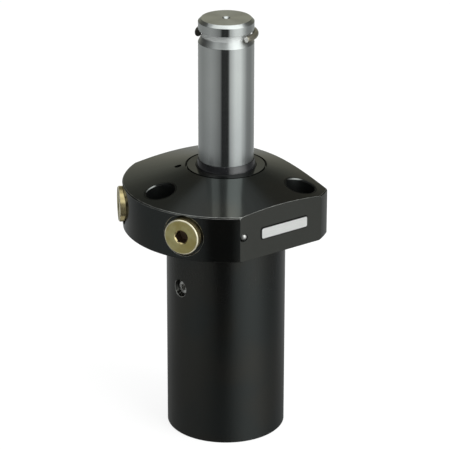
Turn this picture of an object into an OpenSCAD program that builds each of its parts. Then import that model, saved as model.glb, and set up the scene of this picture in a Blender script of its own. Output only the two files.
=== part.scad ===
// Swing clamp cylinder with an upper flange, double acting.
// Frame: +Z up along the rod, origin on the axis at the underside of the flange.
// The rod is drawn fully extended, before it swings and pulls down.

/* [Barrel] */
// Outside diameter of the barrel
barrel_d = 48; // [46:0.5:56]
// Diameter of the piston bore
bore_d = 30; // [29.5:0.1:31]
// Thickness of the closed end below the bore
end_wall = 7.4; // [6:0.1:14]
// Chamfer on the bottom edge
barrel_chamfer = 0.4; // [0.2:0.1:1.2]

/* [Flange] */
// Diameter of the round part of the flange
flange_d = 83; // [81:0.5:92]
// Width across the two parallel flats
flange_w = 72.9; // [72:0.1:80]
// Distance from the axis to the single flat
flat_x = 26; // [25:0.5:34]
// Height of the rim above the seat
rim_h = 18.7; // [18.5:0.1:24]
// Slope of the conical top in degrees
cone_angle = 14.4; // [12:0.2:18]
// Chamfer on the round edges of the rim
rim_chamfer = 0.4; // [0.2:0.1:1]

/* [Mounting holes] */
// Diameter of the circle of mounting holes
bolt_pcd = 64; // [62:0.5:66]
// Diameter of the mounting holes
bolt_hole_d = 7; // [6:0.1:9]
// Diameter of the counterbore for the screw heads
counterbore_d = 11.2; // [10.5:0.1:13]
// Height of the screw heads' seat above the flange's underside
bolt_seat_z = 9; // [5:0.5:12]
// Width of the chamfer round each counterbore
counterbore_break = 0.6; // [0.2:0.1:1]

/* [Rod] */
// Diameter of the rod
rod_d = 22.2; // [21.5:0.1:23]
// Reach of the extended rod above the gland
rod_reach = 61.1; // [50:0.5:80]
// Chamfer on the rod's top edge
rod_chamfer = 1.2; // [0.4:0.1:2]
// Height of the head above the groove
head_h = 4.5; // [3:0.1:8]
// Height of the groove's straight part
groove_h = 2.2; // [1.8:0.1:3]
// Height of the groove's tapered part
groove_taper_h = 2.9; // [1.5:0.1:4]
// Depth of the groove
groove_depth = 1.5; // [1:0.1:2]
// Diameter of the centre drilling in the rod's top
centre_drill_d = 3.3; // [2:0.1:5]

/* [Snap ring] */
// Thickness of the ring's wire
ring_wire_d = 2.5; // [1.8:0.1:2.7]
// Play between the ring and the bottom of the groove
ring_play = 0.4; // [0.4:0.1:0.8]
// Distance of the ring's centre from the axis, as it hangs to one side
ring_offset = 0.2; // [0:0.05:0.3]
// Angle towards which the ring hangs
ring_lean = -64; // [-180:1:180]
// Angle by which the ring tips towards that side
ring_tilt = 1.2; // [0:0.1:3]
// Angle where the ring starts
ring_start = -84; // [-180:1:180]
// Angle that the ring covers
ring_sweep = 237; // [180:1:300]

/* [Gland] */
// Diameter of the gland
gland_d = 32.3; // [32:0.1:34]
// Length of the gland
gland_len = 12.7; // [12.7:0.1:13]
// Width of the groove round the gland's top
gland_groove_w = 0.6; // [0.2:0.05:0.8]
// Depth of that groove
gland_groove_h = 1.2; // [0.6:0.1:2]
// Height of the wiper's lip above the gland
wiper_lip_h = 2.9; // [1:0.1:3.5]
// Thickness of the wiper's lip
wiper_lip_t = 0.95; // [0.7:0.05:1.2]

/* [Motion] */
// Rod travel while the rod swings a quarter turn
swing_stroke = 15.8; // [12:0.1:18]
// Straight rod travel that clamps the work
clamp_stroke = 12.7; // [8:0.1:14]

/* [Guide] */
// Depth of the guide balls below the flange's seat
ball_depth = 12; // [11:0.5:13]
// Diameter of the guide balls
ball_d = 6; // [5.6:0.1:6.2]
// Clearance between the balls and their tracks
track_gap = 0.25; // [0.15:0.05:0.4]
// Depth of the key screw below the flange's seat
key_depth = 22; // [22:0.5:24]
// Angle of the key screw
key_angle = 184; // [175:1:190]
// Diameter of the key screw
key_d = 5.1; // [5:0.1:6]
// Diameter of the key screw's dog
key_dog_d = 4; // [3:0.1:4.5]
// Depth of the key screw's head below the barrel's surface
key_recess = 1.7; // [0.5:0.1:2]
// Diameter of the countersink round the key screw
key_sink_d = 7.2; // [7:0.1:9]
// Length of the guide spring between the sleeve and the piston
spring_len = 10; // [10:0.5:14]
// Thickness of the spring's wire
spring_wire_d = 1.6; // [1.3:0.1:1.8]

/* [Piston] */
// Length of the piston
piston_len = 13; // [13:0.5:18]
// Diameter of the rod's spigot through the piston
spigot_d = 14; // [13.5:0.1:14.5]
// Diameter of the thread under the spigot
spigot_thread_d = 12; // [11:0.1:12.4]
// Thickness of the thrust washers
washer_t = 1; // [0.8:0.1:1.2]
// Width across the flats of the piston nut
nut_af = 17; // [16.5:0.1:17.5]
// Height of the piston nut
nut_h = 3.6; // [3:0.1:4]

/* [Ports] */
// Angle of each side port from the trimmed side of the flange
port_angle = 150; // [148:0.1:152]
// Height of the ports above the flange's seat
port_z = 10; // [9:0.1:10.2]
// Distance from the axis to the ports' spot faces
port_seat_x = 39.9; // [39.5:0.1:40.3]
// Diameter of the spot faces
spot_face_d = 16.8; // [15.5:0.1:17.8]
// Diameter of the port thread
port_thread_d = 11.1; // [10.6:0.1:11.4]
// Depth of the port thread
port_depth = 11.5; // [10:0.1:12]
// Diameter of the plugs' heads
plug_head_d = 14.4; // [13.6:0.1:15]
// Thickness of the plugs' heads
plug_head_t = 3.4; // [3:0.1:5]
// Chamfer on the plugs' heads
plug_chamfer = 0.4; // [0.2:0.1:1]
// Width across the flats of the plugs' sockets
plug_socket_af = 4.76; // [4:0.01:6]
// Chamfer round the mouth of the plugs' sockets
plug_socket_break = 0.6; // [0.4:0.1:0.8]
// Diameter of the oil passages
passage_d = 4; // [3:0.1:4.2]
// Distance from the axis to the gallery in the barrel's wall
gallery_x = 19.15; // [18.9:0.05:19.5]
// Angle of the gallery
gallery_angle = 144.5; // [143:0.5:147]
// Diameter of the gallery
gallery_d = 2.7; // [2.4:0.1:3]
// Depth of the gallery's plug below the surface
gallery_recess = 1.6; // [0.4:0.1:2]
// Angle of the cross drilling at the flange's corner
cross_angle = -116.5; // [-118:0.5:-114]
// Diameter of the ball in the cross drilling
cross_ball_d = 3.1; // [2.6:0.1:3.4]
// Depth of that ball below the rim
cross_ball_recess = 1; // [0.8:0.05:1.2]
// Distance from the axis to the oil ports in the flange's underside
manifold_x = 32; // [31.5:0.1:33]

/* [Nameplate] */
// Length of the nameplate
plate_len = 22.6; // [16:0.2:28]
// Height of the nameplate
plate_h = 4.7; // [3:0.1:8]
// Thickness of the nameplate
plate_t = 0.3; // [0.2:0.1:0.6]
// Radius of the nameplate's corners
plate_r = 1; // [0.4:0.1:1.4]
// Place of the nameplate along the flat
plate_x = 1.5; // [-4:0.1:4]
// Height of the nameplate's middle above the flange's seat
plate_z = 9.7; // [6:0.1:12]

/* [Hidden] */
$fn = 96;

// Clearance of running and screwed fits, on the radius
fit = 0.05;
// Spare length that lets a cut pass a face
over = 1;
steel_black = "#2b2d30";
steel_bright = "#b9bbb8";
chrome_grey = "#c9cac6";
plug_yellow = "#b3a874";
ring_brown = "#4a423a";
seal_black = "#17181a";
bronze = "#a9803f";
plate_silver = "#d3d4d1";

// Radii
barrel_r = barrel_d / 2;
bore_r = bore_d / 2;
flange_r = flange_d / 2;
gland_r = gland_d / 2;
rod_r = rod_d / 2;
ball_r = ball_d / 2;
spigot_r = spigot_d / 2;
thread_r = spigot_thread_d / 2;
rod_hole_r = rod_r + fit;

// Heights of the gland and rod, from the flange's seat upwards
gland_seat_r = gland_r + fit;
function cone_z(r) = rim_h + (flange_r - r) * tan(cone_angle);
gland_top = cone_z(gland_seat_r);
gland_bottom = gland_top - gland_len;
gland_edge = 0.15;
gland_lip = 1.2;
wiper_groove_h = 3.3;
seal_land = 1;
rod_seal_h = 4.5;
wiper_groove_top = gland_top - gland_lip;
wiper_groove_bottom = wiper_groove_top - wiper_groove_h;
rod_seal_top = wiper_groove_bottom - seal_land;
rod_seal_bottom = rod_seal_top - rod_seal_h;
rod_seal_depth = 3;
wiper_depth = 2.8;
seal_groove_r = rod_r + rod_seal_depth;
wiper_groove_r = rod_r + wiper_depth;
lip_hole_r = rod_hole_r + wiper_lip_t + fit;
gland_o_ring_d = 1.3;
gland_o_ring_play = 0.3;
gland_step_h = gland_o_ring_d + gland_o_ring_play;
gland_step_r = gland_seat_r - gland_o_ring_d - 2 * fit;

rod_top = gland_top + rod_reach;
head_bottom = rod_top - head_h;
taper_top = head_bottom - groove_h;
groove_bottom = taper_top - groove_taper_h;
groove_r = rod_r - groove_depth;
ring_r = groove_r + ring_play + ring_wire_d / 2;
ring_z = head_bottom - ring_wire_d / 2 - fit - ring_r * sin(ring_tilt);

// Heights of the guide, piston and bore floor, downwards
ball_z = -ball_depth;
key_z = -key_depth;
dog_r = key_dog_d / 2;
stop_gap = 0.1;
slot_low = key_z - dog_r - stop_gap;
slot_high = key_z + dog_r + clamp_stroke + stop_gap;
sleeve_end_wall = 3;
sleeve_top = max(slot_high, ball_z + ball_r) + sleeve_end_wall;
sleeve_bottom = slot_low - sleeve_end_wall;
sleeve_r = bore_r - fit;
ball_x = sleeve_r - ball_r - fit;
ball_count = 3;

piston_top = sleeve_bottom - spring_len;
piston_bottom = piston_top - piston_len;
piston_r = bore_r - fit;
shoulder_z = piston_top + washer_t + fit;
nut_recess = 0.35;
nut_room = 0.5;
nut_corner_r = nut_af / 2 / cos(30);
pocket_h = washer_t + nut_h + fit + nut_recess;
pocket_top = piston_bottom + pocket_h;
pocket_r = nut_corner_r + nut_room;
nut_top = pocket_top - washer_t - fit;
washer_play = 0.2;
washer_r = rod_r - washer_play;
piston_seal_h = 4;
piston_seal_depth = 3;
piston_land = 2;
piston_seal_top = piston_top - piston_land;
wear_ring_h = 3;
wear_ring_t = 1.6;
wear_ring_land = 1;
wear_ring_bottom = piston_bottom + wear_ring_land;
piston_o_ring_d = 1.4;
piston_o_ring_z = piston_seal_top - piston_seal_h / 2;

end_gap = 1;
bore_floor = piston_bottom - swing_stroke - clamp_stroke - end_gap;
barrel_bottom = bore_floor - end_wall;

// The balls' tracks on the rod climb with the swing
swing_angle = 90;
track_run = ball_r + track_gap;
track_len = swing_stroke + 2 * track_run;
track_turn = swing_angle * track_len / swing_stroke;
track_pitch = ball_x * swing_angle * PI / 180 / swing_stroke;
track_half_depth = ball_r + track_gap;
track_half_width = (ball_r + track_gap) * sqrt(1 + track_pitch * track_pitch) + fit;

// Mounting holes, spaced evenly from their first angle
bolt_count = 3;
bolt_start = 60;

// Ports
plug_neck_depth = 0.9;
plug_o_ring_play = 0.6;
plug_end_gap = 4.5;
plug_neck_r = port_thread_d / 2 - plug_neck_depth;
plug_o_ring_d = 1.4;
plug_neck_h = plug_o_ring_d + plug_o_ring_play;
plug_len = port_depth - plug_end_gap;
plug_seat_r = plug_neck_r + plug_o_ring_d + 4 * fit;
manifold_o_ring_d = 1.6;
manifold_ring_room = 3;
manifold_recess_r = passage_d / 2 + manifold_ring_room;
cross_hole_r = cross_ball_d / 2 + fit;
port_end_x = port_seat_x - port_depth;
gallery_gap = 0.1;
gallery_foot_z = bore_floor + gallery_d / 2 + gallery_gap;

// Points a child's own Z axis along the radius at an angle and height, from a distance out
module radial(angle, z, x = 0) {
    rotate(angle) translate([x, 0, z]) rotate([0, 90, 0]) children();
}

// A plain ring between two heights
module tube(outer_r, inner_r, low, high) {
    translate([0, 0, low]) difference() {
        cylinder(r = outer_r, h = high - low);
        translate([0, 0, -over]) cylinder(r = inner_r, h = high - low + 2 * over);
    }
}

// A round section swept in a circle that touches an inner radius
module o_ring(inner_r, section_d, z) {
    translate([0, 0, z])
        rotate_extrude() translate([inner_r + section_d / 2, 0]) circle(d = section_d, $fn = 32);
}

// Round barrel with its bottom edge broken
module barrel_blank() {
    rotate_extrude() polygon([
        [0, barrel_bottom],
        [barrel_r - barrel_chamfer, barrel_bottom],
        [barrel_r, barrel_bottom + barrel_chamfer],
        [barrel_r, over],
        [0, over]
    ]);
}

// Flange: turned rim and cone, trimmed by three flats
module flange_blank() {
    intersection() {
        rotate_extrude() polygon([
            [0, 0],
            [flange_r - rim_chamfer, 0],
            [flange_r, rim_chamfer],
            [flange_r, rim_h - rim_chamfer],
            [flange_r - rim_chamfer, cone_z(flange_r - rim_chamfer)],
            [gland_seat_r + gland_edge, cone_z(gland_seat_r + gland_edge)],
            [gland_seat_r, gland_top - gland_edge],
            [0, gland_top - gland_edge]
        ]);
        translate([-flange_d, -flange_w / 2, -over])
            cube([flange_d + flat_x, flange_w, gland_top + 2 * over]);
    }
}

// Mounting hole with the counterbore for its screw head
module bolt_hole() {
    mouth_z = cone_z(bolt_pcd / 2);
    break_low = counterbore_break + over;
    translate([0, 0, -over]) cylinder(d = bolt_hole_d, h = mouth_z);
    translate([0, 0, bolt_seat_z]) cylinder(d = counterbore_d, h = mouth_z);
    translate([0, 0, mouth_z]) rotate([0, cone_angle, 0]) translate([0, 0, -break_low])
        cylinder(
            d1 = counterbore_d - 2 * over,
            d2 = counterbore_d + 2 * break_low,
            h = break_low + over);
}

// Side port: spot face, plug seat and thread, along its own Z axis
module port_cut() {
    cylinder(d = spot_face_d, h = flange_r);
    translate([0, 0, -plug_neck_h]) cylinder(r = plug_seat_r, h = plug_neck_h + over);
    translate([0, 0, -port_depth]) cylinder(r = port_thread_d / 2 + fit, h = port_depth + over);
}

// Oil port in the flange's underside, with the recess of its ring
module manifold_cut(angle) {
    rotate(angle) translate([manifold_x, 0, 0]) {
        translate([0, 0, -over]) cylinder(d = passage_d, h = port_z + over);
        translate([0, 0, -over]) cylinder(r = manifold_recess_r, h = manifold_o_ring_d + fit + over);
    }
}

// Passages between the ports, the gallery and the two chambers of the bore
module oil_passages() {
    radial(-port_angle, port_z, bore_r - over) cylinder(d = passage_d, h = port_end_x - bore_r + 2 * over);
    radial(port_angle, port_z, gallery_x) cylinder(d = passage_d, h = port_end_x - gallery_x + over);
    rotate(gallery_angle) translate([gallery_x, 0, gallery_foot_z])
        cylinder(d = gallery_d, h = gland_top - gallery_foot_z);
    radial(gallery_angle, gallery_foot_z, bore_r - over)
        cylinder(d = gallery_d, h = gallery_x - bore_r + over);
    radial(cross_angle, port_z, bore_r - over) cylinder(r = cross_hole_r, h = flange_r - bore_r + 2 * over);
    manifold_cut(cross_angle);
    manifold_cut(port_angle);
}

// Threaded hole for the key screw, with its countersink
module key_hole() {
    hole_d = key_d + 2 * fit;
    widening = (key_sink_d - hole_d) / key_recess;
    radial(key_angle, key_z, bore_r - over) cylinder(d = hole_d, h = barrel_r - bore_r + 2 * over);
    radial(key_angle, key_z, barrel_r - key_recess)
        cylinder(d1 = hole_d, d2 = key_sink_d + widening * over, h = key_recess + over);
}

module body() {
    color(steel_black) difference() {
        union() {
            barrel_blank();
            flange_blank();
        }
        translate([0, 0, bore_floor]) cylinder(r = bore_r, h = gland_bottom - bore_floor + over);
        translate([0, 0, gland_bottom]) cylinder(r = gland_seat_r, h = gland_len + over);
        for (i = [0 : bolt_count - 1])
            rotate(bolt_start + i * 360 / bolt_count) translate([bolt_pcd / 2, 0, 0]) bolt_hole();
        for (side = [-1, 1])
            radial(side * port_angle, port_z, port_seat_x) port_cut();
        oil_passages();
        key_hole();
    }
}

module gland() {
    color(steel_black) rotate_extrude() polygon([
        [rod_hole_r, gland_bottom],
        [gland_step_r, gland_bottom],
        [gland_step_r, gland_bottom + gland_step_h],
        [gland_r, gland_bottom + gland_step_h],
        [gland_r, gland_top - gland_groove_h],
        [gland_r - gland_groove_w, gland_top - gland_groove_h],
        [gland_r - gland_groove_w, gland_top],
        [lip_hole_r, gland_top],
        [lip_hole_r, wiper_groove_top],
        [wiper_groove_r, wiper_groove_top],
        [wiper_groove_r, wiper_groove_bottom],
        [rod_hole_r, wiper_groove_bottom],
        [rod_hole_r, rod_seal_top],
        [seal_groove_r, rod_seal_top],
        [seal_groove_r, rod_seal_bottom],
        [rod_hole_r, rod_seal_bottom]
    ]);
}

module rod_wiper() {
    lip_r = rod_hole_r + wiper_lip_t;
    lip_top = gland_top + wiper_lip_h;
    lip_edge = 0.15;
    color(seal_black) rotate_extrude() polygon([
        [rod_hole_r, wiper_groove_bottom + fit],
        [wiper_groove_r - fit, wiper_groove_bottom + fit],
        [wiper_groove_r - fit, wiper_groove_top - fit],
        [lip_r, wiper_groove_top - fit],
        [lip_r, gland_top],
        [rod_hole_r + lip_edge, lip_top],
        [rod_hole_r, lip_top]
    ]);
}

module rod_seal() {
    outer_r = seal_groove_r - fit;
    middle_r = (outer_r + rod_hole_r) / 2;
    notch = 0.6;
    color(seal_black) rotate_extrude() polygon([
        [rod_hole_r, rod_seal_bottom + fit],
        [middle_r - notch, rod_seal_bottom + fit],
        [middle_r, rod_seal_bottom + rod_seal_h / 2],
        [middle_r + notch, rod_seal_bottom + fit],
        [outer_r, rod_seal_bottom + fit],
        [outer_r, rod_seal_top - fit],
        [rod_hole_r, rod_seal_top - fit]
    ]);
}

module gland_o_ring() {
    color(seal_black)
        o_ring(gland_step_r + fit, gland_o_ring_d, gland_bottom + gland_o_ring_d / 2 + fit);
}

// Helical track for one guide ball
module ball_track() {
    ellipse_sides = 20;
    track_steps = 16;
    translate([0, 0, ball_z - track_run])
        rotate(swing_angle * track_run / swing_stroke)
            linear_extrude(height = track_len, twist = track_turn, slices = track_steps, $fn = ellipse_sides)
                polygon([
                    for (i = [0 : ellipse_sides - 1])
                        let (a = 360 * i / ellipse_sides)
                        [ball_x + track_half_depth * cos(a), track_half_width * sin(a)]
                ]);
}

module plunger_rod() {
    color(chrome_grey) difference() {
        rotate_extrude() polygon([
            [0, piston_bottom + fit],
            [thread_r, piston_bottom + fit],
            [thread_r, nut_top],
            [spigot_r, nut_top],
            [spigot_r, shoulder_z],
            [rod_r, shoulder_z],
            [rod_r, groove_bottom],
            [groove_r, taper_top],
            [groove_r, head_bottom],
            [rod_r, head_bottom],
            [rod_r, rod_top - rod_chamfer],
            [rod_r - rod_chamfer, rod_top],
            [0, rod_top]
        ]);
        translate([0, 0, rod_top - centre_drill_d / 2])
            cylinder(d1 = 0, d2 = centre_drill_d, h = centre_drill_d / 2);
        for (i = [0 : ball_count - 1])
            rotate(i * 360 / ball_count) ball_track();
    }
}

module snap_ring() {
    color(ring_brown)
        translate([ring_offset * cos(ring_lean), ring_offset * sin(ring_lean), ring_z])
            rotate(ring_lean) rotate([0, ring_tilt, 0]) rotate(ring_start - ring_lean)
                rotate_extrude(angle = ring_sweep)
                    translate([ring_r, 0]) circle(d = ring_wire_d, $fn = 32);
}

// Sleeve that holds the guide balls against the rod and is keyed by a slot
module guide_sleeve() {
    color(steel_bright) difference() {
        tube(sleeve_r, rod_hole_r, sleeve_bottom, sleeve_top);
        for (i = [0 : ball_count - 1])
            radial(i * 360 / ball_count, ball_z) cylinder(r = ball_r + fit, h = bore_r + over);
        for (z = [slot_low + dog_r, slot_high - dog_r])
            radial(key_angle, z) cylinder(r = dog_r + fit, h = bore_r + over);
        rotate(key_angle) translate([0, -dog_r - fit, slot_low + dog_r])
            cube([bore_r + over, key_dog_d + 2 * fit, slot_high - slot_low - key_dog_d]);
    }
}

module guide_balls() {
    color(chrome_grey)
        for (i = [0 : ball_count - 1])
            rotate(i * 360 / ball_count) translate([ball_x, 0, ball_z]) sphere(r = ball_r);
}

module guide_key_screw() {
    head_x = barrel_r - key_recess;
    dog_gap = 0.5;
    thread_gap = 0.3;
    dog_x = rod_hole_r + dog_gap;
    body_x = bore_r + thread_gap;
    socket_af = key_d / 2;
    socket_depth = socket_af;
    color(steel_bright) radial(key_angle, key_z) difference() {
        union() {
            translate([0, 0, dog_x]) cylinder(r = dog_r, h = body_x - dog_x + over);
            translate([0, 0, body_x]) cylinder(d = key_d, h = head_x - body_x);
        }
        translate([0, 0, head_x - socket_depth])
            cylinder(d = socket_af / cos(30), h = socket_depth + over, $fn = 6);
    }
}

// Coil spring swept along a helix, ring of points after ring of points
module guide_spring() {
    turns = 3.5;
    sides = 8;
    rings_per_turn = 16;
    rings = turns * rings_per_turn;
    wire_r = spring_wire_d / 2;
    coil_r = (rod_r + bore_r) / 2;
    top_z = sleeve_bottom - wire_r - fit;
    drop = spring_len - spring_wire_d - 2 * fit;
    points = [
        for (i = [0 : rings])
            let (turn = 360 * i / rings_per_turn, z = top_z - drop * i / rings)
            for (k = [0 : sides - 1])
                let (a = 360 * k / sides, r = coil_r + wire_r * cos(a))
                [r * cos(turn), r * sin(turn), z + wire_r * sin(a)]
    ];
    walls = [
        for (i = [0 : rings - 1])
            for (k = [0 : sides - 1])
                let (next = (k + 1) % sides)
                [i * sides + k, i * sides + next, (i + 1) * sides + next, (i + 1) * sides + k]
    ];
    first_cap = [for (k = [sides - 1 : -1 : 0]) k];
    last_cap = [for (k = [0 : sides - 1]) rings * sides + k];
    color(steel_bright) polyhedron(points, concat(walls, [first_cap, last_cap]));
}

module piston() {
    seal_bottom = piston_seal_top - piston_seal_h;
    seal_r = piston_r - piston_seal_depth;
    wear_r = piston_r - wear_ring_t;
    hole_r = spigot_r + fit;
    o_groove_r = hole_r + piston_o_ring_d + fit;
    o_groove_play = 0.2;
    o_groove_half = piston_o_ring_d / 2 + o_groove_play;
    color(steel_bright) rotate_extrude() polygon([
        [hole_r, pocket_top],
        [pocket_r, pocket_top],
        [pocket_r, piston_bottom],
        [piston_r, piston_bottom],
        [piston_r, wear_ring_bottom],
        [wear_r, wear_ring_bottom],
        [wear_r, wear_ring_bottom + wear_ring_h],
        [piston_r, wear_ring_bottom + wear_ring_h],
        [piston_r, seal_bottom],
        [seal_r, seal_bottom],
        [seal_r, piston_seal_top],
        [piston_r, piston_seal_top],
        [piston_r, piston_top],
        [hole_r, piston_top],
        [hole_r, piston_o_ring_z + o_groove_half],
        [o_groove_r, piston_o_ring_z + o_groove_half],
        [o_groove_r, piston_o_ring_z - o_groove_half],
        [hole_r, piston_o_ring_z - o_groove_half]
    ]);
}

module piston_seal() {
    color(seal_black) tube(
        piston_r + fit / 2, piston_r - piston_seal_depth + fit,
        piston_seal_top - piston_seal_h + fit, piston_seal_top - fit);
}

module piston_wear_ring() {
    color(bronze) tube(
        piston_r + fit / 2, piston_r - wear_ring_t + fit,
        wear_ring_bottom + fit, wear_ring_bottom + wear_ring_h - fit);
}

module piston_o_ring() {
    color(seal_black) o_ring(spigot_r + fit, piston_o_ring_d, piston_o_ring_z);
}

module upper_thrust_washer() {
    color(bronze) tube(washer_r, spigot_r + fit, piston_top, piston_top + washer_t);
}

module lower_thrust_washer() {
    color(bronze) tube(pocket_r - 4 * fit, spigot_r + fit, pocket_top - washer_t, pocket_top);
}

module piston_nut() {
    color(steel_bright) translate([0, 0, nut_top - nut_h]) difference() {
        cylinder(d = nut_af / cos(30), h = nut_h, $fn = 6);
        translate([0, 0, -over]) cylinder(r = thread_r + fit, h = nut_h + 2 * over);
    }
}

// Round headed plug with a hex socket, along its own Z axis from the spot face
module port_plug() {
    socket_past_head = 1.4;
    socket_depth = plug_head_t + socket_past_head;
    socket_turn = 30;
    break_low = plug_socket_break + over;
    plug_r = port_thread_d / 2;
    head_r = plug_head_d / 2;
    color(plug_yellow) difference() {
        rotate_extrude() polygon([
            [0, -plug_len],
            [plug_r - plug_chamfer, -plug_len],
            [plug_r, plug_chamfer - plug_len],
            [plug_r, -plug_neck_h],
            [plug_neck_r, -plug_neck_h],
            [plug_neck_r, 0],
            [head_r, 0],
            [head_r, plug_head_t - plug_chamfer],
            [head_r - plug_chamfer, plug_head_t],
            [0, plug_head_t]
        ]);
        translate([0, 0, plug_head_t - socket_depth]) rotate(socket_turn)
            cylinder(d = plug_socket_af / cos(30), h = socket_depth + over, $fn = 6);
        translate([0, 0, plug_head_t - break_low])
            cylinder(d1 = plug_socket_af - 2 * over, d2 = plug_socket_af + 2 * break_low, h = break_low + over);
    }
}

module front_port_plug() {
    radial(-port_angle, port_z, port_seat_x) port_plug();
}

module rear_port_plug() {
    radial(port_angle, port_z, port_seat_x) port_plug();
}

module front_plug_o_ring() {
    color(seal_black) radial(-port_angle, port_z, port_seat_x)
        o_ring(plug_neck_r + fit, plug_o_ring_d, -plug_neck_h / 2);
}

module rear_plug_o_ring() {
    color(seal_black) radial(port_angle, port_z, port_seat_x)
        o_ring(plug_neck_r + fit, plug_o_ring_d, -plug_neck_h / 2);
}

// Ring in the recess of an oil port in the flange's underside
module manifold_o_ring(angle) {
    ring_inner_r = manifold_recess_r - manifold_o_ring_d - fit;
    color(seal_black) rotate(angle) translate([manifold_x, 0, 0])
        o_ring(ring_inner_r, manifold_o_ring_d, manifold_o_ring_d / 2 + fit / 2);
}

module front_manifold_o_ring() {
    manifold_o_ring(cross_angle);
}

module rear_manifold_o_ring() {
    manifold_o_ring(port_angle);
}

module rim_ball_plug() {
    color(steel_bright)
        radial(cross_angle, port_z, flange_r - cross_ball_recess - cross_ball_d / 2)
            sphere(d = cross_ball_d);
}

module gallery_plug() {
    plug_h = 4;
    plug_top = cone_z(gallery_x) - gallery_recess;
    color(steel_bright) rotate(gallery_angle) translate([gallery_x, 0, plug_top - plug_h])
        cylinder(d = gallery_d - 2 * fit, h = plug_h);
}

module nameplate() {
    half_len = plate_len / 2 - plate_r;
    half_h = plate_h / 2 - plate_r;
    color(plate_silver)
        translate([plate_x, -flange_w / 2, plate_z]) rotate([90, 0, 0]) linear_extrude(plate_t) {
            square([plate_len, 2 * half_h], center = true);
            square([2 * half_len, plate_h], center = true);
            for (x = [-half_len, half_len])
                for (y = [-half_h, half_h])
                    translate([x, y]) circle(plate_r, $fn = 32);
        }
}

body();
gland();
rod_wiper();
rod_seal();
gland_o_ring();
plunger_rod();
snap_ring();
guide_sleeve();
guide_balls();
guide_key_screw();
guide_spring();
piston();
piston_seal();
piston_wear_ring();
piston_o_ring();
upper_thrust_washer();
lower_thrust_washer();
piston_nut();
front_port_plug();
rear_port_plug();
front_plug_o_ring();
rear_plug_o_ring();
front_manifold_o_ring();
rear_manifold_o_ring();
rim_ball_plug();
gallery_plug();
nameplate();
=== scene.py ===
"""Looks of the swing clamp cylinder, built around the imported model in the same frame, in metres."""

import math

import bmesh
import bpy
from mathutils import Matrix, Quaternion, Vector


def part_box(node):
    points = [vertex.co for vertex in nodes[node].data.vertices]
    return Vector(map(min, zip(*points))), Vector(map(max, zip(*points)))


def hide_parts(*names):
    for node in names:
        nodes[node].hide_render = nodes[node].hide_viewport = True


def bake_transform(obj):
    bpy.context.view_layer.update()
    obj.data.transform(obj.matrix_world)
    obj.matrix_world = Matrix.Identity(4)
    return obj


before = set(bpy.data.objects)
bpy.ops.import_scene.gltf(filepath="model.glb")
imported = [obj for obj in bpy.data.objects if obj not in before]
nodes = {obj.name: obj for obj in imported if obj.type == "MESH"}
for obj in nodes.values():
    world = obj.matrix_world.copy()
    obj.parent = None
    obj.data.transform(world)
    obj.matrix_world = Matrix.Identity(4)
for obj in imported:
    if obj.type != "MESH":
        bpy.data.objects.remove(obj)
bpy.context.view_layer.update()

MM = 0.001

# Camera, fitted to the photograph
CAMERA_PLACE = (-0.57215, -0.77887, 0.39574)
CAMERA_AIM = (-0.00031, 0.00023, -0.00104)
CAMERA_ROLL = math.radians(0.066)
CAMERA_LENS = 207.73
CAMERA_SENSOR = 36.0
# Turn about Z that brings the camera's side of the part to -Y
CAMERA_TURN = math.atan2(CAMERA_PLACE[0], -CAMERA_PLACE[1])
VIEW_WAY = (Vector(CAMERA_AIM) - Vector(CAMERA_PLACE)).normalized()

# Sizes repeated from the part's source
FLOOR_Z = -87.0 * MM
SPRING_WIRE_R = 0.8 * MM
SPRING_TURNS = 3.5
RING_START = math.radians(-84)
RING_END = math.radians(153)
HEAD_BOTTOM = 81.8 * MM
ROD_R = 11.1 * MM
PORT_ANGLE = math.radians(150)
PORT_AXIS = (math.cos(PORT_ANGLE), math.sin(PORT_ANGLE), 0.0)
PORT_Z = 10.0 * MM
PLUG_FACE = 43.3 * MM
PLUG_FLAT_R = 6.8 * MM
SOCKET_R = 2.98 * MM
BOLT_X = 32.0 * MM
BOLT_ANGLES = (60, 180, 300)
PLATE_CORNER_R = 1.0 * MM
FLAT_Y = -36.45 * MM

# Heights, radii and insets between which one finish, painted highlight or painted shade gives way to the
# next
BARREL_TOP = (-1.0 * MM, 0.0)
BARREL_POLISH = (-85.0 * MM, -8.0 * MM)
HOLE_MOUTH = (6.5 * MM, 6.6 * MM)
HOLE_EDGE = (6.5 * MM, 7.0 * MM)
UPPER_EDGE = (17.2 * MM, 18.2 * MM)
OUTER_EDGE = (33.0 * MM, 34.0 * MM)
PORT_RIM = (8.7 * MM, 9.0 * MM)
ROD_SKIN = (ROD_R - 0.12 * MM, ROD_R - 0.02 * MM)
HEAD_UNDERSIDE = (HEAD_BOTTOM - 0.05 * MM, HEAD_BOTTOM + 0.05 * MM)
NECK = (9.7 * MM, 9.9 * MM)
# Heights over which the chrome is painted darker as shade towards the body
LOW_SHADE = (34.0 * MM, 66.0 * MM)
PLUG_EDGE_HIGHLIGHT = (PLUG_FLAT_R - 0.15 * MM, PLUG_FLAT_R)
SOCKET_SHADE = (PLUG_FACE - 0.75 * MM, PLUG_FACE - 0.55 * MM)
PLATE_SHADE_IN = (0.26 * MM, 0.28 * MM)
# Insets from the plate's outline over which the adhesive line and its painted contact shadow begin
GLUE_SHADOW_OUT = (-0.30 * MM, -0.25 * MM)
# The adhesive line and its painted contact shadow lie on the flat, and go no deeper than this
GLUE_SHADOW_DEPTH = FLAT_Y + 0.05 * MM
# Middle and reach of the stretch of the barrel in which the key screw's hole has pale edges from wear and a
# painted highlight
KEY_RIM_Z = -25.6 * MM
KEY_RIM_REACH = 6.0 * MM
# Angles from the snap ring's far end, from no painted shade in near black to full
RING_FAR_SHADE = (math.radians(32), math.radians(18))
# Levels of a noise pattern between which colour, gloss or hue goes from one value to the other
COLOUR_PATCHES = (0.35, 0.65)
GLOSS_PATCHES = (0.3, 0.7)
HUE_PATCHES = (0.4, 0.6)


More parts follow.
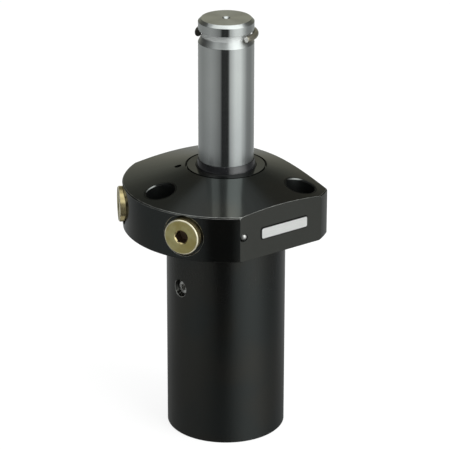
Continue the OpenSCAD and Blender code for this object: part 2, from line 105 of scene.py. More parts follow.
class Shader:
    """A tree of nodes under construction: a material, the world or a step of geometry."""

    def __init__(self, tree):
        self.tree = tree
        self.tree.nodes.clear()

    def add(self, kind, settings=None, **inputs):
        """Adds a node, sets its options, and sets or links its inputs by name."""
        node = self.tree.nodes.new(kind)
        for name, value in (settings or {}).items():
            setattr(node, name, value)
        for name, value in inputs.items():
            self.feed(node, name.replace("_", " "), value)
        return node

    def feed(self, node, name, value):
        """Sets one input, or links it where the value is another node's output."""
        socket = node.inputs[int(name)] if name.isdigit() else node.inputs[name]
        if isinstance(value, bpy.types.NodeSocket):
            self.tree.links.new(value, socket)
        else:
            socket.default_value = value

    def math(self, operation, *values):
        """Adds one step of arithmetic and returns its result."""
        node = self.tree.nodes.new("ShaderNodeMath")
        node.operation = operation
        for i, value in enumerate(values):
            self.feed(node, str(i), value)
        return node.outputs[0]

    def both(self, first, second):
        """High where both factors are."""
        return self.math("MULTIPLY", first, second)

    def either(self, first, second):
        """High where one factor or the other is."""
        return self.math("MAXIMUM", first, second)

    def without(self, factor):
        """High where the factor is low."""
        return self.math("SUBTRACT", 1.0, factor)

    def vector(self, operation, *values):
        """Adds one step of vector arithmetic and returns its result."""
        node = self.tree.nodes.new("ShaderNodeVectorMath")
        node.operation = operation
        for i, value in enumerate(values):
            self.feed(node, str(i), value)
        return node.outputs["Value" if operation in ("LENGTH", "DOT_PRODUCT") else "Vector"]

    def spread(self, value, low, high, to_low, to_high):
        """Maps a value smoothly from one range to another."""
        node = self.tree.nodes.new("ShaderNodeMapRange")
        node.interpolation_type = "SMOOTHSTEP"
        for i, number in enumerate((value, low, high, to_low, to_high)):
            self.feed(node, str(i), number)
        return node.outputs[0]

    def rise(self, value, low, high):
        """Goes from 0 to 1 while the value goes from low to high."""
        return self.spread(value, low, high, 0.0, 1.0)

    def fall(self, value, low, high):
        """Goes from 1 to 0 while the value goes from low to high."""
        return self.spread(value, low, high, 1.0, 0.0)

    def blend(self, factor, first, second):
        """Goes from one number to another while the factor goes from 0 to 1."""
        return self.spread(factor, 0.0, 1.0, first, second)

    def mix(self, factor, first, second):
        """Mixes two colours."""
        node = self.tree.nodes.new("ShaderNodeMix")
        node.data_type = "RGBA"
        self.feed(node, "0", factor)
        for i, colour in ((6, first), (7, second)):
            self.feed(node, str(i), colour)
        return node.outputs[2]

    def join(self, factor, first, second):
        """Mixes two surfaces or backgrounds."""
        node = self.tree.nodes.new("ShaderNodeMixShader")
        for i, value in enumerate((factor, first, second)):
            self.feed(node, str(i), value)
        return node.outputs[0]

    def noise(self, vector, scale, detail=2.0, roughness=0.5):
        """Adds a noise pattern and returns its value."""
        return self.add(
            "ShaderNodeTexNoise", Vector=vector, Scale=scale, Detail=detail, Roughness=roughness
        ).outputs[0]

    def bump(self, height, strength, distance):
        """Adds fine relief and returns its normal."""
        return self.add("ShaderNodeBump", Strength=strength, Distance=distance, Height=height).outputs[0]

    def ramp(self, factor, stops, tint):
        """Adds a ramp of grey levels, each place from 0 to 1, in one tint."""
        node = self.add("ShaderNodeValToRGB", Fac=factor)
        elements = node.color_ramp.elements
        while len(elements) < len(stops):
            elements.new(0.5)
        for element, (place, level) in zip(elements, stops):
            element.position = place
            element.color = rgb(*(level * part for part in tint))
        return node.outputs[0]


def rgb(red, green, blue):
    return (red, green, blue, 1.0)


def new_material(name):
    material = bpy.data.materials.new(name)
    material.use_nodes = True
    return material, Shader(material.node_tree)


def finish_material(shader, **inputs):
    """Adds the surface, with its inputs by name, and the material's output."""
    surface = shader.add("ShaderNodeBsdfPrincipled", **inputs).outputs[0]
    shader.add("ShaderNodeOutputMaterial", Surface=surface)


def studio_point(azimuth, elevation, distance):
    """A place round the part: azimuth 0 is the camera's side, and positive goes to its right."""
    turn = CAMERA_TURN + math.radians(azimuth)
    rise = math.radians(elevation)
    flat = distance * math.cos(rise)
    return Vector((flat * math.sin(turn), -flat * math.cos(turn), distance * math.sin(rise)))


def split(shader, vector):
    """The three parts of a vector."""
    parts = shader.add("ShaderNodeSeparateXYZ", Vector=vector).outputs
    return parts["X"], parts["Y"], parts["Z"]


def flattened(shader, place):
    """A place seen from above."""
    return shader.vector("MULTIPLY", place, (1.0, 1.0, 0.0))


def axis_distance(shader, place):
    """Distance from the rod's axis."""
    return shader.vector("LENGTH", flattened(shader, place))


def turned_marks(shader, place, scale):
    """Lines that run round the Z axis: a pattern of radius and height alone."""
    _, _, height = split(shader, place)
    lines = shader.add("ShaderNodeCombineXYZ", X=axis_distance(shader, place), Z=height).outputs[0]
    return shader.noise(lines, scale, detail=3.0)


def bolt_distance(shader, place):
    """Distance to the nearest mounting hole's axis, seen from above."""
    flat = flattened(shader, place)
    nearest = 1.0
    for degrees in BOLT_ANGLES:
        turn = math.radians(degrees)
        centre = (BOLT_X * math.cos(turn), BOLT_X * math.sin(turn), 0.0)
        away = shader.vector("LENGTH", shader.vector("SUBTRACT", flat, centre))
        nearest = shader.math("MINIMUM", away, nearest)
    return nearest


def port_frame(shader, place):
    """Distance out along the nearest port's axis, and away from it; the ports mirror each other in Y."""
    x, y, z = split(shader, place)
    folded = shader.add(
        "ShaderNodeCombineXYZ",
        X=x,
        Y=shader.math("ABSOLUTE", y),
        Z=shader.math("SUBTRACT", z, PORT_Z),
    ).outputs[0]
    out = shader.vector("DOT_PRODUCT", folded, PORT_AXIS)
    scaled = shader.add("ShaderNodeVectorMath", {"operation": "SCALE"}, **{"0": PORT_AXIS, "Scale": out})
    away = shader.vector("LENGTH", shader.vector("SUBTRACT", folded, scaled.outputs[0]))
    return out, away


def plate_inset(shader, place):
    """Distance in from the outline of the plate, a rounded rectangle on the flat that faces -Y."""
    low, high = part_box("nameplate")
    x, _, z = split(shader, place)
    past = []
    for value, start, end in ((x, low[0], high[0]), (z, low[2], high[2])):
        away = shader.math("ABSOLUTE", shader.math("SUBTRACT", value, (start + end) / 2))
        past.append(shader.math("SUBTRACT", away, (end - start) / 2 - PLATE_CORNER_R))
    corner = shader.add(
        "ShaderNodeCombineXYZ",
        X=shader.math("MAXIMUM", past[0], 0.0),
        Y=shader.math("MAXIMUM", past[1], 0.0),
    ).outputs[0]
    inner = shader.math("MINIMUM", shader.math("MAXIMUM", past[0], past[1]), 0.0)
    outward = shader.math("ADD", shader.vector("LENGTH", corner), inner)
    return shader.math("SUBTRACT", PLATE_CORNER_R, outward)


def metal(name, dark, light, metallic, roughness, marks_scale, marks_depth, patch_scale):
    """Machined metal: cloudy colour, uneven gloss and fine turning marks."""
    material, shader = new_material(name)
    place = shader.add("ShaderNodeTexCoord").outputs["Object"]
    clouds = shader.noise(place, patch_scale, detail=4.0, roughness=0.6)
    marks = turned_marks(shader, place, marks_scale)
    finish_material(
        shader,
        Base_Color=shader.mix(shader.rise(clouds, *COLOUR_PATCHES), dark, light),
        Metallic=metallic,
        Roughness=shader.spread(clouds, *GLOSS_PATCHES, *roughness),
        Normal=shader.bump(marks, strength=0.5, distance=marks_depth),
    )
    return material


def oxide_material():
    """Black oxide on steel: a glossy turned top painted lighter as a sheen, paler milled flats, painted
    light and shade on the holes' chamfers, and an adhesive line with painted shadow round the plate.
    """
    material, shader = new_material("black_oxide_steel")
    coords = shader.add("ShaderNodeTexCoord")
    place = coords.outputs["Object"]
    normal = coords.outputs["Normal"]
    _, depth, height = split(shader, place)
    normal_x, normal_y, up = split(shader, normal)

    # Where each finish lies
    top = shader.rise(up, low=0.3, high=0.8)
    barrel = shader.fall(height, *BARREL_TOP)
    square_to_flat = shader.either(shader.math("ABSOLUTE", normal_y), normal_x)
    milled = shader.both(shader.rise(square_to_flat, low=0.993, high=0.998), shader.without(barrel))
    hole = shader.fall(bolt_distance(shader, place), *HOLE_MOUTH)
    near_plate = shader.rise(plate_inset(shader, place), *GLUE_SHADOW_OUT)
    glue_and_shadow = shader.both(near_plate, shader.math("LESS_THAN", depth, GLUE_SHADOW_DEPTH))

    # Colour outside
    clouds = shader.noise(place, scale=70.0, detail=4.0, roughness=0.6)
    hues = shader.rise(shader.noise(place, scale=30.0), *HUE_PATCHES)
    side = shader.mix(hues, rgb(0.044, 0.048, 0.047), rgb(0.050, 0.050, 0.046))
    # Up-facing turned surfaces are glossy and painted lighter than the sides as a sheen
    sheen_top = shader.mix(hues, rgb(0.102, 0.110, 0.106), rgb(0.112, 0.112, 0.102))
    flat = shader.mix(clouds, rgb(0.066, 0.067, 0.061), rgb(0.074, 0.075, 0.069))
    plain = shader.mix(milled, shader.mix(top, side, sheen_top), flat)
    # Round the plate: a near black adhesive line with painted contact shadow
    outside = shader.mix(glue_and_shadow, plain, rgb(0.010, 0.010, 0.010))

    # Colour in the mounting holes, whose chamfers get a painted highlight on the side that faces the light
    # and painted shade in near black elsewhere
    wall = shader.mix(clouds, rgb(0.060, 0.066, 0.064), rgb(0.090, 0.096, 0.092))
    lit_way = tuple(studio_point(azimuth=36, elevation=45, distance=1.0))
    lit = shader.rise(shader.vector("DOT_PRODUCT", normal, lit_way), low=0.91, high=0.97)
    # Painted highlight on the chamfer facing the light, painted shade on the rest
    mouth_light_and_shade = shader.mix(lit, rgb(0.012, 0.013, 0.012), rgb(0.30, 0.31, 0.30))
    bored = shader.mix(shader.rise(up, low=0.3, high=0.5), wall, mouth_light_and_shade)

    # Gloss, with faint upright streaks
    barrel_gloss = shader.spread(height, *BARREL_POLISH, 0.45, 0.27)
    gloss = shader.blend(top, shader.blend(barrel, 0.14, barrel_gloss), 0.09)
    upright = shader.vector("MULTIPLY", place, (1.0, 1.0, 0.12))
    streaks = shader.noise(upright, scale=130.0, detail=3.0)
    uneven = shader.spread(streaks, *GLOSS_PATCHES, -0.02, 0.02)
    marks = turned_marks(shader, place, scale=2200.0)
    finish_material(
        shader,
        Base_Color=shader.mix(hole, outside, bored),
        Metallic=shader.blend(barrel, 0.97, 0.95),
        Roughness=shader.blend(hole, shader.math("ADD", gloss, uneven), 0.35),
        Normal=shader.bump(marks, strength=0.4, distance=0.002 * MM),
    )
    return material


def edge_material():
    """Oxide paled on the upper corners and round the ports by wear and a painted highlight, while other
    edges keep their black.
    """
    material, shader = new_material("edge_wear_and_highlight_steel")
    place = shader.add("ShaderNodeTexCoord").outputs["Object"]
    _, _, height = split(shader, place)
    _, port_away = port_frame(shader, place)
    hole = shader.fall(bolt_distance(shader, place), *HOLE_EDGE)
    outer = shader.rise(axis_distance(shader, place), *OUTER_EDGE)
    upper = shader.both(outer, shader.rise(height, *UPPER_EDGE))
    port = shader.both(shader.fall(port_away, *PORT_RIM), shader.without(upper))
    from_key = shader.math("ABSOLUTE", shader.math("SUBTRACT", height, KEY_RIM_Z))
    bare_and_highlit = shader.either(port, shader.math("LESS_THAN", from_key, KEY_RIM_REACH))
    # Upper corners and the port and key screw rims are paled by wear and a painted highlight
    wear_and_highlight = shader.both(shader.either(upper, bare_and_highlit), shader.without(hole))
    rubs = shader.rise(shader.noise(place, scale=500.0, detail=4.0), *COLOUR_PATCHES)
    thin_and_highlit = shader.mix(rubs, rgb(0.26, 0.26, 0.25), rgb(0.50, 0.50, 0.48))
    wear_and_highlight_colour = shader.mix(bare_and_highlit, thin_and_highlit, rgb(0.92, 0.92, 0.89))
    finish_material(
        shader,
        Base_Color=shader.mix(wear_and_highlight, rgb(0.05, 0.052, 0.05), wear_and_highlight_colour),
        Metallic=1.0,
        Roughness=shader.blend(rubs, 0.3, 0.4),
    )
    return material


def rod_material():
    """Ground chrome, painted darker towards the body as shade, with a duller turned groove and an olive
    turned face on its top.
    """
    material, shader = new_material("ground_chrome")
    coords = shader.add("ShaderNodeTexCoord")
    place = coords.outputs["Object"]
    _, _, height = split(shader, place)
    _, _, up = split(shader, coords.outputs["Normal"])
    radius = axis_distance(shader, place)
    top = shader.rise(up, low=0.8, high=0.95)
    under_head = shader.fall(height, *HEAD_UNDERSIDE)
    groove = shader.both(shader.fall(radius, *ROD_SKIN), under_head)
    neck = shader.both(under_head, shader.fall(radius, *NECK))
    clouds = shader.noise(place, scale=120.0, detail=4.0)
    clean = shader.mix(clouds, rgb(0.60, 0.62, 0.61), rgb(0.66, 0.68, 0.67))
    # Chrome darker towards the body: painted shade
    shaded_low = shader.mix(clouds, rgb(0.51, 0.53, 0.53), rgb(0.57, 0.59, 0.59))
    chrome = shader.mix(shader.fall(height, *LOW_SHADE), clean, shaded_low)
    turned = shader.mix(clouds, rgb(0.29, 0.29, 0.24), rgb(0.38, 0.38, 0.32))
    dulled = shader.blend(shader.either(top, groove), 0.14, 0.28)
    neck_share = 1.3
    less_metallic = -0.3
    plain = shader.math("MULTIPLY_ADD", neck, neck_share, top)
    marks = turned_marks(shader, place, scale=2600.0)
    around = shader.add("ShaderNodeTangent", {"direction_type": "RADIAL", "axis": "Z"}).outputs[0]
    finish_material(
        shader,
        Base_Color=shader.mix(top, chrome, turned),
        Metallic=shader.math("MULTIPLY_ADD", plain, less_metallic, 1.0),
        Roughness=shader.blend(neck, dulled, 0.42),
        Anisotropic=1.0,
        Anisotropic_Rotation=0.25,
        Tangent=around,
        Normal=shader.bump(marks, strength=0.3, distance=0.008 * MM),
    )
    return material


def ring_material():
    """Tempered spring wire with a bright cut end, and painted shade in near black at its other end."""
    material, shader = new_material("spring_ring_steel")
    coords = shader.add("ShaderNodeTexCoord")
    place = coords.outputs["Object"]
    cut_way = (math.sin(RING_START), -math.cos(RING_START), 0.0)
    toward_cut = shader.vector("DOT_PRODUCT", coords.outputs["Normal"], cut_way)
    cut = shader.rise(toward_cut, low=0.93, high=0.98)
    end_way = (math.cos(RING_END), math.sin(RING_END), 0.0)
    toward_end = shader.vector("DOT_PRODUCT", shader.vector("NORMALIZE", flattened(shader, place)), end_way)
    scaled = shader.rise(toward_end, *(math.cos(angle) for angle in RING_FAR_SHADE))
    clouds = shader.noise(place, scale=300.0, detail=4.0)
    spring_wire = shader.mix(clouds, rgb(0.32, 0.30, 0.24), rgb(0.47, 0.44, 0.36))
    # Near black towards the far end: painted shade
    wire = shader.mix(scaled, spring_wire, rgb(0.035, 0.033, 0.03))
    grain = shader.noise(place, scale=4000.0)
    finish_material(
        shader,
        Base_Color=shader.mix(cut, wire, rgb(0.9, 0.9, 0.87)),
        Metallic=shader.blend(cut, 0.95, 0.4),
        Roughness=shader.spread(clouds, *GLOSS_PATCHES, 0.26, 0.36),
        Normal=shader.bump(grain, strength=0.3, distance=0.01 * MM),
    )
    return material


def zinc_material():
    """Yellow zinc on turned plugs: a silky face, a glossy side, a painted highlight round the face's edge
    and painted shade in the hex socket.
    """
    material, shader = new_material("yellow_zinc_steel")
    coords = shader.add("ShaderNodeTexCoord")
    place = coords.outputs["Object"]
    _, y, _ = split(shader, place)
    out, radius = port_frame(shader, place)
    normal_x, normal_y, normal_z = split(shader, coords.outputs["Normal"])
    folded_normal = shader.add(
        "ShaderNodeCombineXYZ",
        X=normal_x,
        Y=shader.math("MULTIPLY", normal_y, shader.math("SIGN", y)),
        Z=normal_z,
    ).outputs[0]
    facing = shader.vector("DOT_PRODUCT", folded_normal, PORT_AXIS)
    face = shader.rise(facing, low=0.85, high=0.97)
    # Pale rim round the plug face: a painted highlight
    edge_highlight = shader.both(shader.rise(facing, low=0.3, high=0.6), shader.rise(radius, *PLUG_EDGE_HIGHLIGHT))
    # Darker inside the hex socket: painted shade
    inside = shader.math("LESS_THAN", radius, SOCKET_R)
    socket = shader.both(inside, shader.fall(out, *SOCKET_SHADE))
    clouds = shader.rise(shader.noise(place, scale=160.0, detail=4.0, roughness=0.6), *COLOUR_PATCHES)
    silky = shader.mix(clouds, rgb(0.28, 0.235, 0.085), rgb(0.36, 0.33, 0.16))
    bright = shader.mix(clouds, rgb(0.48, 0.40, 0.20), rgb(0.60, 0.51, 0.28))
    outside = shader.mix(edge_highlight, shader.mix(face, bright, silky), rgb(0.66, 0.62, 0.48))
    lines = shader.add("ShaderNodeCombineXYZ", X=radius, Y=out).outputs[0]
    rings = shader.noise(lines, scale=2600.0, detail=3.0)
    finish_material(
        shader,
        Base_Color=shader.mix(socket, outside, rgb(0.20, 0.145, 0.105)),
        Metallic=shader.blend(shader.either(face, edge_highlight), 0.92, 0.6),
        Roughness=shader.blend(face, 0.13, 0.42),
        Normal=shader.bump(rings, strength=0.5, distance=0.012 * MM),
    )
    return material


def rubber_material():
    """Glossy black sealing rubber, a little cloudy."""
    material, shader = new_material("seal_rubber")
    place = shader.add("ShaderNodeTexCoord").outputs["Object"]
    clouds = shader.noise(place, scale=400.0, detail=3.0)
    grain = shader.noise(place, scale=9000.0)
    finish_material(
        shader,
        Base_Color=shader.mix(clouds, rgb(0.004, 0.004, 0.005), rgb(0.010, 0.010, 0.011)),
        Roughness=shader.spread(clouds, *GLOSS_PATCHES, 0.10, 0.16),
        IOR=1.8,
        Normal=shader.bump(grain, strength=0.2, distance=0.01 * MM),
    )
    return material


def plate_material():
    """Bare aluminium, brushed along its length, with its border and sides painted near black as shade."""
    material, shader = new_material("brushed_plate")
    coords = shader.add("ShaderNodeTexCoord")
    place = coords.outputs["Object"]
    _, normal_y, _ = split(shader, coords.outputs["Normal"])
    front = shader.fall(normal_y, low=-0.95, high=-0.8)
    face = shader.both(front, shader.rise(plate_inset(shader, place), *PLATE_SHADE_IN))
    stretched = shader.vector("MULTIPLY", place, (0.03, 1.0, 1.0))
    brushing = shader.noise(stretched, scale=6000.0, detail=3.0)
    clouds = shader.noise(place, scale=300.0, detail=3.0)
    brushed = shader.mix(brushing, rgb(0.62, 0.62, 0.61), rgb(0.82, 0.82, 0.81))
    finish_material(
        shader,
        # Border and sides in near black: painted shade along the plate's edges
        Base_Color=shader.mix(face, rgb(0.008, 0.008, 0.008), brushed),
        Metallic=shader.math("MULTIPLY", face, 0.8),
        IOR=shader.blend(face, 1.3, 1.5),
        Roughness=shader.spread(clouds, *GLOSS_PATCHES, 0.34, 0.46),
        Normal=shader.bump(brushing, strength=0.4, distance=0.01 * MM),
    )
    return material


def border_material():
    """Matt black rim of the plate: painted shade along its edge, where its adhesive shows."""
    material, shader = new_material("plate_edge_shade")
    place = shader.add("ShaderNodeTexCoord").outputs["Object"]
    clouds = shader.noise(place, scale=600.0, detail=3.0)
    finish_material(
        shader,
        Base_Color=shader.mix(clouds, rgb(0.005, 0.005, 0.005), rgb(0.012, 0.012, 0.011)),
        Roughness=shader.spread(clouds, *GLOSS_PATCHES, 0.55, 0.7),
        IOR=1.3,
    )
    return material


# Materials of the part
BLACK_OXIDE = oxide_material()
EDGE_WEAR_AND_HIGHLIGHT = edge_material()
BRIGHT_STEEL = metal(
    "bright_steel",
    dark=rgb(0.58, 0.58, 0.56),
    light=rgb(0.70, 0.70, 0.68),
    metallic=0.92,
    roughness=(0.24, 0.36),
    marks_scale=2600.0,
    marks_depth=0.01 * MM,
    patch_scale=200.0,
)
BRONZE = metal(
    "bearing_bronze",
    dark=rgb(0.42, 0.25, 0.10),
    light=rgb(0.55, 0.35, 0.16),
    metallic=1.0,
    roughness=(0.3, 0.42),
    marks_scale=2400.0,
    marks_depth=0.015 * MM,
    patch_scale=200.0,
)
CHROME_ROD = rod_material()
RING_STEEL = ring_material()
YELLOW_ZINC = zinc_material()
SEAL_RUBBER = rubber_material()
PLATE = plate_material()
PLATE_EDGE_SHADE = border_material()

# The finish of every CAD node, by the record's slot that it was imported with
FINISH_OF_SLOT = {
    "black_oxide": BLACK_OXIDE,
    "chrome_rod": CHROME_ROD,
    "ring_steel": RING_STEEL,
    "bright_steel": BRIGHT_STEEL,
    "yellow_zinc": YELLOW_ZINC,
    "seal_black": SEAL_RUBBER,
    "bronze": BRONZE,
    "plate_aluminium": PLATE,
}

# Width of the broken edges on the pieces that show
EDGE_WIDTH = {
    "body": 0.08 * MM,
    "gland": 0.08 * MM,
    "plunger_rod": 0.08 * MM,
    "snap_ring": 0.12 * MM,
    "rod_wiper": 0.06 * MM,
    "front_port_plug": 0.12 * MM,
    "rear_port_plug": 0.12 * MM,
    "guide_key_screw": 0.12 * MM,
    "gallery_plug": 0.12 * MM,
    "nameplate": 0.06 * MM,
}
# Finish of the broken edges, where it differs from the piece's own: wear and painted highlight on body and
# gland, painted shade on the plate's rim
EDGE_FINISH = {"body": EDGE_WEAR_AND_HIGHLIGHT, "gland": EDGE_WEAR_AND_HIGHLIGHT, "nameplate": PLATE_EDGE_SHADE}

# Corners closer than this are joined, facets closer in angle than this are one flat, and edges sharper than
# this are broken
WELD_GAP = 0.0005 * MM
FLAT_TURN = math.radians(0.4)
SHARP_TURN = math.radians(24)
# Where the body's edges show: above this height, past this radius, or low down and outside the bore
SHOWN_ABOVE = 17.5 * MM
SHOWN_PAST = 35.0 * MM
SHOWN_BELOW = 1.0 * MM
BARREL_EDGE_R = 23.4 * MM


def outer_edges():
    """A node group that marks the sharp edges on the body's outside for the bevel."""
    group = bpy.data.node_groups.new("outer_edges", "GeometryNodeTree")
    for way in ("INPUT", "OUTPUT"):
        group.interface.new_socket("Mesh", in_out=way, socket_type="NodeSocketGeometry")
    shader = Shader(group)
    mesh = shader.add("NodeGroupInput").outputs[0]
    turn = shader.add("GeometryNodeInputMeshEdgeAngle").outputs["Unsigned Angle"]
    place = shader.add("GeometryNodeInputPosition").outputs[0]
    _, _, height = split(shader, place)
    reach = axis_distance(shader, place)
    upper = shader.math("GREATER_THAN", height, SHOWN_ABOVE)
    rim = shader.math("GREATER_THAN", reach, SHOWN_PAST)
    low = shader.math("LESS_THAN", height, SHOWN_BELOW)
    under = shader.both(low, shader.math("GREATER_THAN", reach, BARREL_EDGE_R))
    shown = shader.either(shader.either(upper, rim), under)
    marked = shader.add(
        "GeometryNodeStoreNamedAttribute",
        {"data_type": "FLOAT", "domain": "EDGE"},
        Geometry=mesh,
        Name="bevel_weight_edge",
        Value=shader.both(shown, shader.math("GREATER_THAN", turn, SHARP_TURN)),
    )
    shader.add("NodeGroupOutput", **{"0": marked.outputs[0]})
    return group


def break_edges(piece, width, edge_slot, outer_only):
    """Joins the split corners, clears flat facets and breaks the sharp edges."""
    weld = piece.modifiers.new("join", "WELD")
    weld.merge_threshold = WELD_GAP
    flats = piece.modifiers.new("flats", "DECIMATE")
    flats.decimate_type = "DISSOLVE"
    flats.angle_limit = FLAT_TURN
    if outer_only:
        piece.modifiers.new("outer", "NODES").node_group = outer_edges()
    bevel = piece.modifiers.new("edges", "BEVEL")
    bevel.width = width
    bevel.segments = 2
    bevel.limit_method = "WEIGHT" if outer_only else "ANGLE"
    bevel.angle_limit = SHARP_TURN
    bevel.material = edge_slot
    bevel.use_clamp_overlap = False
    shading = piece.modifiers.new("shading", "WEIGHTED_NORMAL")
    shading.keep_sharp = True
    shading.weight = 60


for name, piece in nodes.items():
    slot_name = piece.data.materials[0].name.split(".")[0]
    piece.data.materials[0] = FINISH_OF_SLOT[slot_name]
    if name in EDGE_FINISH:
        piece.data.materials.append(EDGE_FINISH[name])
    if name in EDGE_WIDTH:
        own_slot = 1 if name in EDGE_FINISH else -1
        break_edges(piece, EDGE_WIDTH[name], own_slot, outer_only=name == "body")


def make_spring():
    """A round wire spring that stretches between the guide and the piston."""
    low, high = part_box("guide_spring")
    coil_r = (high[0] - low[0]) / 2 - SPRING_WIRE_R
    rise = high[2] - low[2] - 2 * SPRING_WIRE_R
    steps = 140
    sides = 12
    mesh = bmesh.new()
    loops = []
    for i in range(steps + 1):
        turn = 2 * math.pi * SPRING_TURNS * i / steps
        height = high[2] - SPRING_WIRE_R - rise * i / steps
        loop = []
        for k in range(sides):
            angle = 2 * math.pi * k / sides
            reach = coil_r + SPRING_WIRE_R * math.cos(angle)
            z = height + SPRING_WIRE_R * math.sin(angle)
            loop.append(mesh.verts.new((reach * math.cos(turn), reach * math.sin(turn), z)))
        loops.append(loop)
    for first, second in zip(loops, loops[1:]):
        for k in range(sides):
            after = (k + 1) % sides
            mesh.faces.new((first[k], first[after], second[after], second[k])).smooth = True
    mesh.faces.new(reversed(loops[0]))
    mesh.faces.new(loops[-1])
    bmesh.ops.recalc_face_normals(mesh, faces=mesh.faces)
    data = bpy.data.meshes.new("guide_spring_wire")
    mesh.to_mesh(data)
    mesh.free()
    data.materials.append(BRIGHT_STEEL)
    spring = bpy.data.objects.new("guide_spring_wire", data)
    bpy.context.scene.collection.objects.link(spring)
    return spring


spring = make_spring()
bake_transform(spring)
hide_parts("guide_spring")


def softbox(name, azimuth, elevation, distance, size, power):
    """A square soft light that faces the part; the surround gives the gloss its panels."""
    data = bpy.data.lights.new(name, "AREA")
    data.shape = "SQUARE"
    data.size = size
    data.energy = power
    lamp = bpy.data.objects.new(name, data)
    lamp.location = studio_point(azimuth, elevation, distance)
    lamp.rotation_mode = "QUATERNION"
    lamp.rotation_quaternion = (-lamp.location).to_track_quat("-Z", "Y")
    lamp.visible_camera = False
    lamp.visible_glossy = False
    bpy.context.scene.collection.objects.link(lamp)


softbox("key_light", azimuth=48, elevation=28, distance=1.0, size=0.7, power=9.0)
softbox("fill_light", azimuth=-75, elevation=25, distance=1.1, size=0.8, power=3.0)
softbox("top_light", azimuth=150, elevation=70, distance=1.0, size=0.8, power=5.0)

# Light that the studio sends from round about, by the azimuth in degrees from the camera's side:
# below the horizon, just above it, higher in two steps, and overhead
LOW_RING = [
    (-180, 0.30), (-165, 0.30), (-147, 0.34), (-125, 0.32), (-108, 0.31), (-65, 0.40), (-50, 0.36),
    (-38, 0.30), (-26, 0.23), (-22, 0.16), (-17, 0.03), (7, 0.03), (11, 0.12), (15.5, 0.45),
    (24, 0.62), (40, 0.86), (62, 0.87), (78, 0.55), (95, 0.3), (115, 0.26), (141, 0.36),
    (160, 0.34), (180, 0.30),
]
MIDDLE_RING = [
    (-180, 0.29), (-140, 0.12), (-110, 0.03), (-70, 0.03), (-44, 0.08), (-5, 0.05), (8, 0.08),
    (16, 0.9), (35, 1.9), (55, 1.8), (74, 1.0), (88, 0.25), (100, 0.08), (135, 0.10), (180, 0.30),
]
HIGH_RING = [
    (-180, 0.08), (-115, 0.10), (-70, 0.45), (-45, 0.75), (-25, 0.8), (-14, 0.95), (2, 1.1),
    (10, 1.2), (20, 1.4), (34, 1.5), (50, 1.7), (68, 1.5), (88, 0.7), (115, 0.15), (165, 0.075),
    (180, 0.08),
]
UPPER_RING = [
    (-180, 0.28), (-170, 0.32), (-150, 0.50), (-105, 0.52), (-92, 0.55), (-82, 1.2), (-70, 1.0),
    (-52, 0.9), (-40, 0.5), (-28, 0.07), (-4, 0.05), (5, 0.4), (14, 1.4), (25, 1.7), (60, 1.7),
    (95, 1.5), (104, 0.5), (148, 0.45), (164, 0.17), (172, 0.26), (180, 0.28),
]
TOP_RING = [(-180, 0.8), (-100, 0.9), (-60, 1.4), (60, 1.5), (100, 0.9), (180, 0.8)]
COOL = (0.97, 1.0, 0.99)
WARM = (1.14, 1.14, 0.95)
EVEN = (1.0, 1.0, 1.0)
# Each ring above the lowest, with its tint behind the part, and the heights on the unit sphere
# between which it takes over
RISING_RINGS = [
    (MIDDLE_RING, WARM, -0.25, 0.1),
    (HIGH_RING, WARM, 0.25, 0.6),
    (UPPER_RING, COOL, 0.68, 0.75),
    (TOP_RING, COOL, 0.83, 0.94),
]
# What lies under the part, with the heights on the unit sphere between which it ends
SINKING_TONES = [
    (rgb(0.06, 0.06, 0.06), -0.8, -0.55),
    (rgb(0.4, 0.4, 0.37), -0.96, -0.88),
]
# Azimuths between which the tint behind the part takes over
BEHIND = (math.radians(105), math.radians(150))
# Angles from the line of sight within which mirrored rays see the white background, from not at all to fully
WHITE_REACH = (math.radians(16), math.radians(9))


def ring_stops(ring):
    return [(degrees / 360 + 0.5, level) for degrees, level in ring]


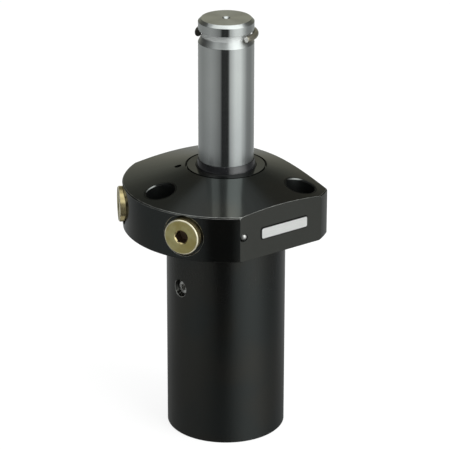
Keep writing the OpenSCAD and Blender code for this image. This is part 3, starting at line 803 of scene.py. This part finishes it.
def make_world():
    """White where the camera sees past the part, and a ring of soft panels for everything else."""
    world = bpy.data.worlds.new("studio")
    bpy.context.scene.world = world
    world.use_nodes = True
    shader = Shader(world.node_tree)
    way = shader.add("ShaderNodeTexCoord").outputs["Generated"]
    turned = shader.add(
        "ShaderNodeVectorRotate", {"rotation_type": "Z_AXIS"}, Vector=way, Angle=-CAMERA_TURN
    ).outputs[0]
    x, y, z = split(shader, turned)
    azimuth = shader.math("ARCTAN2", x, shader.math("MULTIPLY", y, -1.0))
    along = shader.math("MULTIPLY_ADD", azimuth, 0.5 / math.pi, 0.5)
    behind = shader.rise(shader.math("ABSOLUTE", azimuth), *BEHIND)
    panels = shader.ramp(along, ring_stops(LOW_RING), COOL)
    for ring, tint, low, high in RISING_RINGS:
        hue = shader.mix(behind, rgb(*COOL), rgb(*tint))
        tinted = shader.vector("MULTIPLY", shader.ramp(along, ring_stops(ring), EVEN), hue)
        panels = shader.mix(shader.rise(z, low, high), panels, tinted)
    for tone, low, high in SINKING_TONES:
        panels = shader.mix(shader.fall(z, low, high), panels, tone)
    surround = shader.add("ShaderNodeBackground", Color=panels)
    white = shader.add("ShaderNodeBackground", Color=rgb(1, 1, 1))
    rays = shader.add("ShaderNodeLightPath").outputs
    mirrored = shader.either(rays["Is Glossy Ray"], rays["Is Transmission Ray"])
    along_sight = shader.vector("DOT_PRODUCT", way, tuple(VIEW_WAY))
    past_part = shader.rise(along_sight, *(math.cos(angle) for angle in WHITE_REACH))
    seen = shader.either(rays["Is Camera Ray"], shader.both(mirrored, past_part))
    studio = shader.join(seen, surround.outputs[0], white.outputs[0])
    shader.add("ShaderNodeOutputWorld", Surface=studio)


def make_floor():
    """A plain pale floor that stays white to the camera and keeps a soft shadow."""
    material, shader = new_material("pale_floor")
    pale = shader.add("ShaderNodeBsdfDiffuse", Color=rgb(0.8, 0.8, 0.8))
    glow = shader.add("ShaderNodeEmission", Color=rgb(1, 1, 1), Strength=0.85)
    shade = shader.add("ShaderNodeBsdfDiffuse", Color=rgb(0.15, 0.15, 0.15))
    lit = shader.add("ShaderNodeAddShader", **{"0": glow.outputs[0], "1": shade.outputs[0]})
    rays = shader.add("ShaderNodeLightPath").outputs
    top = shader.join(rays["Is Camera Ray"], pale.outputs[0], lit.outputs[0])
    clear = shader.add("ShaderNodeBsdfTransparent")
    below = shader.add("ShaderNodeNewGeometry").outputs["Backfacing"]
    shader.add("ShaderNodeOutputMaterial", Surface=shader.join(below, top, clear.outputs[0]))
    mesh = bmesh.new()
    bmesh.ops.create_circle(mesh, cap_ends=True, segments=96, radius=1.5)
    data = bpy.data.meshes.new("floor")
    mesh.to_mesh(data)
    mesh.free()
    data.materials.append(material)
    floor = bpy.data.objects.new("floor", data)
    floor.location.z = FLOOR_Z
    floor.visible_glossy = False
    bpy.context.scene.collection.objects.link(floor)


def make_camera():
    """The photograph's camera."""
    data = bpy.data.cameras.new("camera")
    data.lens = CAMERA_LENS
    data.sensor_width = CAMERA_SENSOR
    data.clip_start = 0.01
    data.clip_end = 20.0
    camera = bpy.data.objects.new("camera", data)
    camera.location = CAMERA_PLACE
    camera.rotation_mode = "QUATERNION"
    aim = Vector(CAMERA_AIM) - camera.location
    roll = Quaternion((0, 0, 1), CAMERA_ROLL)
    camera.rotation_quaternion = aim.to_track_quat("-Z", "Y") @ roll
    bpy.context.scene.collection.objects.link(camera)
    bpy.context.scene.camera = camera


make_world()
make_floor()
make_camera()
bpy.context.scene.view_settings.view_transform = "Standard"
